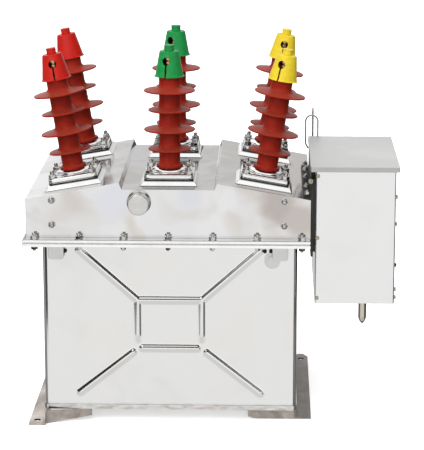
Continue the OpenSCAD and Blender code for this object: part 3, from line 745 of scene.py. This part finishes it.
def fastenerTree():
    # on every point a hexagon with chamfered corners, a washer under it and a threaded stud or a dome on it
    n = TreeHand("fasteners", fastenerInputs)
    high, washerThick, studLong = n.want("Head Height"), n.want("Washer Thickness"), n.want("Stud Length")
    half = n.calc("MULTIPLY", n.want("Across Flats"), 0.5)
    crown = n.calc("MULTIPLY", half, n.want("Chamfer"))

    blank = n.add("GeometryNodeMeshCylinder", Vertices=36, Radius=1.0, Depth=2.0)
    blank.inputs["Side Segments"].default_value = 2
    place = n.add("ShaderNodeSeparateXYZ", Vector=n.add("GeometryNodeInputPosition").outputs[0])
    turn = n.calc("ARCTAN2", place.outputs["Y"], place.outputs["X"])
    sixth = math.pi / 3
    chamferSlope = 0.577  # 30 degrees
    within = n.calc("SUBTRACT", n.calc("WRAP", turn, sixth, 0.0), sixth / 2)
    hexRadius = n.calc("DIVIDE", half, n.calc("COSINE", within))
    isTop = n.calc("GREATER_THAN", place.outputs["Z"], 0.5)
    isLow = n.calc("LESS_THAN", place.outputs["Z"], -0.5)
    drop = n.calc("MULTIPLY", n.calc("MAXIMUM", n.calc("SUBTRACT", hexRadius, crown), 0.0), chamferSlope)
    notTop = n.calc("SUBTRACT", 1.0, isTop)
    radius = n.calc("ADD", n.calc("MULTIPLY", crown, isTop), n.calc("MULTIPLY", hexRadius, notTop))
    upper = n.calc("SUBTRACT", high, n.calc("MULTIPLY", drop, notTop))
    height = n.calc("MULTIPLY", upper, n.calc("SUBTRACT", 1.0, isLow))
    across, along = (n.calc("MULTIPLY", n.calc(operation, turn), radius) for operation in ("COSINE", "SINE"))
    position = n.vector(across, along, height)
    shaped = n.add("GeometryNodeSetPosition", Geometry=blank.outputs["Mesh"], Position=position)
    head = n.moved(shaped.outputs[0], z=washerThick)

    washer = n.add("GeometryNodeMeshCylinder", Vertices=32, Radius=n.want("Washer Radius"), Depth=washerThick)
    washerUp = n.moved(washer.outputs["Mesh"], z=n.calc("MULTIPLY", washerThick, 0.5))

    core = n.calc("SUBTRACT", n.want("Stud Radius"), n.want("Thread Depth"))
    stud = n.add("GeometryNodeMeshCylinder", Vertices=20, Radius=core, Depth=studLong)
    studUp = n.moved(stud.outputs["Mesh"], z=n.calc("MULTIPLY", studLong, 0.5))
    tip = n.add("GeometryNodeMeshCone", Vertices=20, Radius_Bottom=core)
    for socket, part in (("Radius Top", 0.75), ("Depth", 0.25)):
        n.plug(tip.inputs[socket], n.calc("MULTIPLY", core, part))
    tipUp = n.moved(tip.outputs["Mesh"], z=studLong)

    above = n.calc("SUBTRACT", studLong, high)
    turns = n.calc("DIVIDE", above, n.want("Thread Pitch"))
    coil = n.add("GeometryNodeCurveSpiral", Resolution=14, Rotations=turns, Start_Radius=core,
                 End_Radius=core, Height=above)
    rib = n.add("GeometryNodeCurvePrimitiveCircle", Resolution=3, Radius=n.want("Thread Depth"))
    thread = n.add("GeometryNodeCurveToMesh", Curve=coil.outputs["Curve"], Profile_Curve=rib.outputs["Curve"])
    threadUp = n.moved(thread.outputs["Mesh"], z=high)
    threaded = n.add("GeometryNodeJoinGeometry")
    for part in (studUp, tipUp, threadUp):
        n.tree.links.new(part, threaded.inputs["Geometry"])

    ball = n.add("GeometryNodeMeshUVSphere", Segments=28, Rings=14, Radius=n.want("Dome Radius"))
    domed = n.moved(ball.outputs["Mesh"], z=n.calc("SUBTRACT", studLong, n.want("Dome Radius")))
    hasDome = n.calc("GREATER_THAN", n.want("Dome Radius"), 0.0001)
    ending = n.add("GeometryNodeSwitch", {"input_type": "GEOMETRY"}, Switch=hasDome)
    n.tree.links.new(threaded.outputs[0], ending.inputs["False"])
    n.tree.links.new(domed, ending.inputs["True"])

    whole = n.add("GeometryNodeJoinGeometry")
    for part in (head, washerUp, ending.outputs[0]):
        n.tree.links.new(part, whole.inputs["Geometry"])
    facing = n.add("GeometryNodeInputNamedAttribute", {"data_type": "FLOAT_VECTOR"}, Name="facing")
    spin = n.add("GeometryNodeInputNamedAttribute", {"data_type": "FLOAT"}, Name="spin")
    aligned = n.add("FunctionNodeAlignRotationToVector", {"axis": "Z"}, Vector=facing.outputs["Attribute"])
    turned = n.add("FunctionNodeRotateRotation", {"rotation_space": "LOCAL"}, Rotation=aligned.outputs[0])
    asEuler = n.add("FunctionNodeEulerToRotation", Euler=n.vector(z=spin.outputs["Attribute"]))
    n.tree.links.new(asEuler.outputs[0], turned.inputs["Rotate By"])
    copies = n.add("GeometryNodeInstanceOnPoints", Points=n.want("Geometry"), Instance=whole.outputs[0],
                   Rotation=turned.outputs[0])
    real = n.add("GeometryNodeRealizeInstances", Geometry=copies.outputs[0])
    metal = n.add("GeometryNodeSetMaterial", Geometry=real.outputs[0], Material=n.want("Metal"))
    n.tree.links.new(metal.outputs[0], n.result.inputs["Geometry"])
    return n.tree


boltTree = fastenerTree()


def fastenerSize(flats, high, washer, thick, stud, length, dome=0.0):
    # metres in, named inputs of the tree out
    return {"Across Flats": flats, "Head Height": high, "Washer Radius": washer, "Washer Thickness": thick,
            "Stud Radius": stud, "Stud Length": length, "Dome Radius": dome}


boltSizes = {
    "clamp": fastenerSize(0.0195, 0.0090, 0.0132, 0.0018, 0.0062, 0.0195),
    "head": fastenerSize(0.0180, 0.0088, 0.0122, 0.0014, 0.0050, 0.0135),
    "nut": fastenerSize(0.0130, 0.0070, 0.0088, 0.0014, 0.0042, 0.0105),
    "dome": fastenerSize(0.0180, 0.0066, 0.0112, 0.0014, 0.0050, 0.0150, 0.0082),
    "corner": fastenerSize(0.0190, 0.0070, 0.0088, 0.0014, 0.0050, 0.0125),
    "leg": fastenerSize(0.0130, 0.0065, 0.0088, 0.0012, 0.0040, 0.0105),
    "edge": fastenerSize(0.0068, 0.0034, 0.0036, 0.0006, 0.0018, 0.0040),
    "frontScrew": fastenerSize(0.0100, 0.0045, 0.0058, 0.0010, 0.0025, 0.0052),
    "sideScrew": fastenerSize(0.0100, 0.0042, 0.0058, 0.0010, 0.0025, 0.0050),
    "plateStud": fastenerSize(0.0058, 0.0040, 0.0032, 0.0010, 0.0024, 0.0185),
    "plateNut": fastenerSize(0.0120, 0.0060, 0.0070, 0.0010, 0.0030, 0.0080),
    "lug": fastenerSize(0.0090, 0.0055, 0.0058, 0.0010, 0.0028, 0.0080),
}
placed = {}  # how many fasteners each piece holds


def fasteners(name, metal, size, places):
    # places: (point, outward direction, turn in degrees); turns differ so that no two stand quite alike
    mesh = bpy.data.meshes.new(name)
    mesh.from_pydata([tuple(point) for point, direction, turn in places], [], [])
    mesh.attributes.new("facing", "FLOAT_VECTOR", "POINT")
    mesh.attributes.new("spin", "FLOAT", "POINT")
    for i, (point, direction, turn) in enumerate(places):
        mesh.attributes["facing"].data[i].vector = Vector(direction).normalized()
        mesh.attributes["spin"].data[i].value = math.radians(turn)
    obj = addObject(name, mesh)
    modifier = obj.modifiers.new("fasteners", "NODES")
    modifier.node_group = boltTree
    given = dict(boltSizes[size], Metal=finishes[metal])
    for item in boltTree.interface.items_tree:
        if item.in_out == "INPUT" and item.name in given:
            modifier[item.identifier] = given[item.name]
    applyModifiers(obj)
    smoothByAngle(obj.data, 30)
    finish(obj, finishes[metal])
    placed[name] = len(places)


toFront, toRight, upright, hanging = (0, -1, 0), (1, 0, 0), (0, 0, 1), (0, 0, -1)
coverLow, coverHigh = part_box("cover_shell")
coverMid = (coverLow + coverHigh) / 2

studs = []
for row, column in bushings:
    frameOf = bushingFrame(row, column)
    for y in (-clampShape["stud"], clampShape["stud"]):
        for x in (-clampShape["stud"], clampShape["stud"]):
            point = frameOf @ Vector((x, y, clampShape["top"]))
            studs.append((point, frameOf.to_3x3() @ Vector(upright), 11 + 37 * len(studs)))
fasteners("clamp_nuts", "bolt_steel", "clamp", studs)

# the row of bolts through both flanges, heads above and nuts below
flangeBolts = {"count": 7, "pitch": 0.1282, "first": -0.384, "in": 0.0145}
flangeLow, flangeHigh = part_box("cover_flange")
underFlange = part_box("tank_flange")[0].z
heads, cornerNuts, nuts = [], [], []
for y in (flangeLow.y + flangeBolts["in"], flangeHigh.y - flangeBolts["in"]):
    for i in range(flangeBolts["count"]):
        x = coverMid.x + flangeBolts["first"] + i * flangeBolts["pitch"]
        heads.append(((x, y, flangeHigh.z), upright, 7 + 31 * i))
        below = cornerNuts if i in (0, flangeBolts["count"] - 1) else nuts
        below.append(((x, y, underFlange), hanging, 15 + 23 * i))
fasteners("flange_heads", "bolt_steel", "head", heads)
fasteners("flange_corner_nuts", "bolt_steel", "corner", cornerNuts)
fasteners("flange_nuts", "bolt_steel", "nut", nuts)

# domed nuts on the cover's front wall
coverStuds = {"out": 0.334, "heights": (0.668, 0.597)}
fasteners("cover_nuts", "bolt_steel", "dome", [
    ((coverMid.x + side * coverStuds["out"], coverLow.y, z), toFront, 18 + 40 * side)
    for side in (-1, 1) for z in coverStuds["heights"]])

# nuts on the black plate's leg, a bolt and a nut in its front edge and studs standing on its top
legNuts = {"in": 0.0115, "down": 0.0352, "along": (-0.303, -0.206, -0.072, 0.035, 0.118),
           "facing": (0.17, 0, 0.985)}
edgeBolt = {"in": 0.0035, "height": 0.655}
topStuds = {"across": (0.0235, 0.0305), "in": 0.006}
edgeNut = {"in": 0.0205, "down": 0.0075}
plateLow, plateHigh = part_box("mount_plate")
legX, legZ = coverHigh.x - legNuts["in"], coverHigh.z - legNuts["down"]
fasteners("plate_leg_nuts", "white_nut", "leg", [
    ((legX, coverMid.y + y, legZ), legNuts["facing"], 9 + 29 * i) for i, y in enumerate(legNuts["along"])])
fasteners("plate_edge_bolt", "bolt_steel", "edge", [
    ((plateLow.x + edgeBolt["in"], plateLow.y, edgeBolt["height"]), toFront, 10)])
fasteners("plate_top_studs", "black_bolt", "plateStud", [
    ((plateLow.x + x, plateLow.y + topStuds["in"], plateHigh.z), upright, 20 * i)
    for i, x in enumerate(topStuds["across"])])
fasteners("plate_front_nut", "olive_screw", "plateNut", [
    ((plateLow.x + edgeNut["in"], plateLow.y, plateHigh.z - edgeNut["down"]), toFront, 8)])

# screws in the box's front and right walls
frontScrews = {"in": 0.006, "heights": (0.745, 0.564, 0.386)}
sideScrews = {"in": 0.012, "heights": (0.683, 0.604, 0.483, 0.411, 0.387)}
boxLow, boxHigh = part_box("box_body")
fasteners("box_front_screws", "olive_screw", "frontScrew", [
    ((boxLow.x + frontScrews["in"], boxLow.y, z), toFront, 20 * i)
    for i, z in enumerate(frontScrews["heights"])])
fasteners("box_side_screws", "olive_screw", "sideScrew", [
    ((boxHigh.x, y, z), toRight, 20 * i) for y in (boxLow.y + sideScrews["in"], boxHigh.y - sideScrews["in"])
    for i, z in enumerate(sideScrews["heights"])])

# black screws through the tank's wall beside the lugs
lugScrews = ((-0.420, 0.517), (0.157, 0.519), (0.1745, 0.5195))
tankLow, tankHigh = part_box("tank_lip")
fasteners("lug_screws", "black_bolt", "lug", [
    ((x, y, z), (0, side, 0), 14) for side, y in ((-1, tankLow.y), (1, tankHigh.y)) for x, z in lugScrews])
print("fasteners set:", sum(placed.values()))

view = {"turn": 1.668, "rise": 13.348, "distance": 6.148, "target": (-0.0050, 0.0030, 0.5186), "lens": 171.75}
studio = {
    "floor": (0.93, 0.93, 0.93), "floorPatch": (0.90, 0.90, 0.90), "glow": 0.45, "floorSize": 60.0,
    "backdrop": (1.05, 1.05, 1.05),
    # light for matt surfaces: everywhere, from ahead (with its direction and narrowness) and from overhead
    "even": 0.22, "front": 3.75, "aim": (-0.28, -0.80, 0.53), "narrow": 4.0, "above": 1.1,
    # what polished metal sees: (place, grey) by height of the direction, 0 straight down, 0.5 level, 1 up
    "ahead": ((0.0, 0.90), (0.20, 0.90), (0.345, 1.13), (0.55, 1.13), (0.585, 1.85), (0.635, 1.85),
              (0.665, 0.03), (0.835, 0.03), (0.87, 1.25), (0.975, 1.25), (0.992, 0.45)),
    "behind": ((0.0, 0.30), (0.20, 0.30), (0.345, 0.90), (0.50, 0.84), (0.58, 0.71), (0.66, 0.73),
               (0.72, 1.0), (0.90, 1.05), (0.975, 1.0), (0.992, 0.45)),
    # the rear light rises by the last number between the first two sideways directions
    "flank": (-0.13, -0.175, 1.50),
    # how much darker the rear corners and the edges below the horizon and the sides above it are, and where
    # each begins and ends: corners by how far back a direction points, the others by how far sideways
    "corner": 0.74, "cornerFrom": (0.20, 0.30), "cornerTo": (0.88, 0.96),
    "edge": 0.85, "edgeShift": 0.06, "edgeFrom": (0.76, 0.85), "edgeTo": (0.945, 0.960), "edgeRest": 0.6,
    "sides": 0.60, "sidesFrom": (0.50, 0.65), "sidesAbove": (0.02, 0.12),
}
cards = {  # two corners of upright dark sheets that only polished metal sees, and how bright they are
    "card_right": ((1.35, -0.60, 0.0), (1.35, 1.60, 0.40), 0.12),
    "card_left": ((-1.62, -0.60, 0.0), (-0.95, -1.25, 0.50), 0.13),
    "card_back": ((-1.60, 3.00, 0.0), (1.60, 3.00, 0.62), 0.05),
}
lampAim = (0.0, 0.0, 0.5)
lamps = {"keyLight": ((-2.2, -3.4, 3.6), (2.4, 1.6), 22), "fillLight": ((3.2, -2.6, 2.2), (1.6, 2.0), 8)}


def makeCamera():
    data = bpy.data.cameras.new("camera")
    data.lens = view["lens"]
    data.sensor_width = 36.0
    data.sensor_fit = "HORIZONTAL"
    data.clip_end = 200.0
    camera = bpy.data.objects.new("camera", data)
    bpy.context.scene.collection.objects.link(camera)
    turn, rise = math.radians(view["turn"]), math.radians(view["rise"])
    direction = Vector((math.sin(turn) * math.cos(rise), -math.cos(turn) * math.cos(rise), math.sin(rise)))
    camera.location = Vector(view["target"]) + direction * view["distance"]
    camera.rotation_euler = (-direction).to_track_quat("-Z", "Y").to_euler()
    bpy.context.scene.camera = camera


def makeFloor():
    size = studio["floorSize"] / 2
    mesh = bpy.data.meshes.new("floor")
    corners = [(-size, -size, 0), (size, -size, 0), (size, size, 0), (-size, size, 0)]
    mesh.from_pydata(corners, [], [(0, 1, 2, 3)])
    floor = addObject("floor", mesh)
    f = Finish("paleFloor", studio["floor"], roughness=0.6, specular=0.2)
    tone = f.mix(f.span(f.noise(0.6, detail=2.0), 0.0, 0.02), studio["floor"], studio["floorPatch"])
    f.surface.inputs["Emission Color"].default_value = (1.0, 1.0, 1.0, 1.0)
    f.surface.inputs["Emission Strength"].default_value = studio["glow"]
    dress(floor, f.done(tone))
    floor.visible_glossy = floor.visible_diffuse = False
    floor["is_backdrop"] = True


def makeCard(name, low, high, tone):
    (x0, y0, z0), (x1, y1, z1) = low, high
    mesh = bpy.data.meshes.new(name)
    mesh.from_pydata([(x0, y0, z0), (x1, y1, z0), (x1, y1, z1), (x0, y0, z1)], [], [(0, 1, 2, 3)])
    card = addObject(name, mesh)
    f = Finish(name + "Black", (tone, tone, tone), roughness=0.9, specular=0.0)
    grain = f.noise(0.2, detail=2.0)
    dress(card, f.done(f.ramp(grain, (0.3, tone * 0.9), (0.7, tone * 1.1))))
    card.visible_camera = card.visible_diffuse = card.visible_shadow = card.visible_transmission = False
    card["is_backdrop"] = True


def softLight(name, place, size, power):
    data = bpy.data.lights.new(name, "AREA")
    data.shape = "RECTANGLE"
    data.size, data.size_y = size
    data.energy = power
    light = bpy.data.objects.new(name, data)
    light.location = place
    light.rotation_euler = (Vector(lampAim) - Vector(place)).to_track_quat("-Z", "Y").to_euler()
    light.visible_camera = False
    bpy.context.scene.collection.objects.link(light)


def makeWorld():
    # soft light from ahead and above for matt surfaces, a banded room for polished ones, a white backdrop
    world = bpy.data.worlds.new("studio")
    bpy.context.scene.world = world
    world.use_nodes = True
    world.cycles.sampling_method = "NONE"
    w = NodeHand(world.node_tree)
    path = world.node_tree.nodes.new("ShaderNodeLightPath")
    toward = w.coords.outputs["Generated"]
    x, y, z = w.split(toward)
    aside = w.math("ABSOLUTE", x)
    height = w.span(z, 0.0, 1.0, -1.0, 1.0)
    below = w.span(z, 1.0, 0.0, -0.05, 0.05)
    low, high, factor = studio["flank"]
    rear = w.times(w.ramp(height, *studio["behind"]), w.span(x, 1.0, factor, low, high))
    room = w.mix(w.span(y, 0.0, 1.0, -0.06, 0.06), w.ramp(height, *studio["ahead"]), rear)
    inCorner = w.times(w.span(y, 0.0, 1.0, *studio["cornerFrom"]), w.span(y, 1.0, 0.0, *studio["cornerTo"]))
    corner = w.times(inCorner, below, studio["corner"])
    shifted = w.math("ABSOLUTE", w.math("ADD", x, studio["edgeShift"]))
    onEdge = w.times(w.span(shifted, 0.0, 1.0, *studio["edgeFrom"]),
                     w.span(aside, 1.0, studio["edgeRest"], *studio["edgeTo"]))
    edge = w.times(onEdge, below, studio["edge"])
    sides = w.times(w.span(aside, 0.0, studio["sides"], *studio["sidesFrom"]),
                    w.span(z, 0.0, 1.0, *studio["sidesAbove"]))
    room = w.mix(w.math("MAXIMUM", w.math("MAXIMUM", corner, edge), sides), room, (0.0, 0.0, 0.0))
    aimed = world.node_tree.nodes.new("ShaderNodeVectorMath")
    aimed.operation = "DOT_PRODUCT"
    aimed.inputs[1].default_value = studio["aim"]
    w.link(toward, aimed.inputs[0])
    front = w.math("POWER", w.math("MAXIMUM", aimed.outputs["Value"], 0.0), studio["narrow"])
    above = w.math("POWER", w.math("MAXIMUM", z, 0.0), 2.0)
    lit = w.math("ADD", w.times(front, studio["front"]), w.times(above, studio["above"]))
    lit = w.math("ADD", lit, studio["even"])
    around = w.mix(path.outputs["Is Glossy Ray"], lit, room)
    seen = w.mix(path.outputs["Is Camera Ray"], around, studio["backdrop"])
    w.feed(world.node_tree.nodes["Background"].inputs["Color"], seen)


makeCamera()
makeFloor()
makeWorld()
for name, (low, high, tone) in cards.items():
    makeCard(name, low, high, tone)
for name, (place, size, power) in lamps.items():
    softLight(name, place, size, power)
bpy.context.scene.view_settings.view_transform = "Standard"
print("studio ready")

low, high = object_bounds()
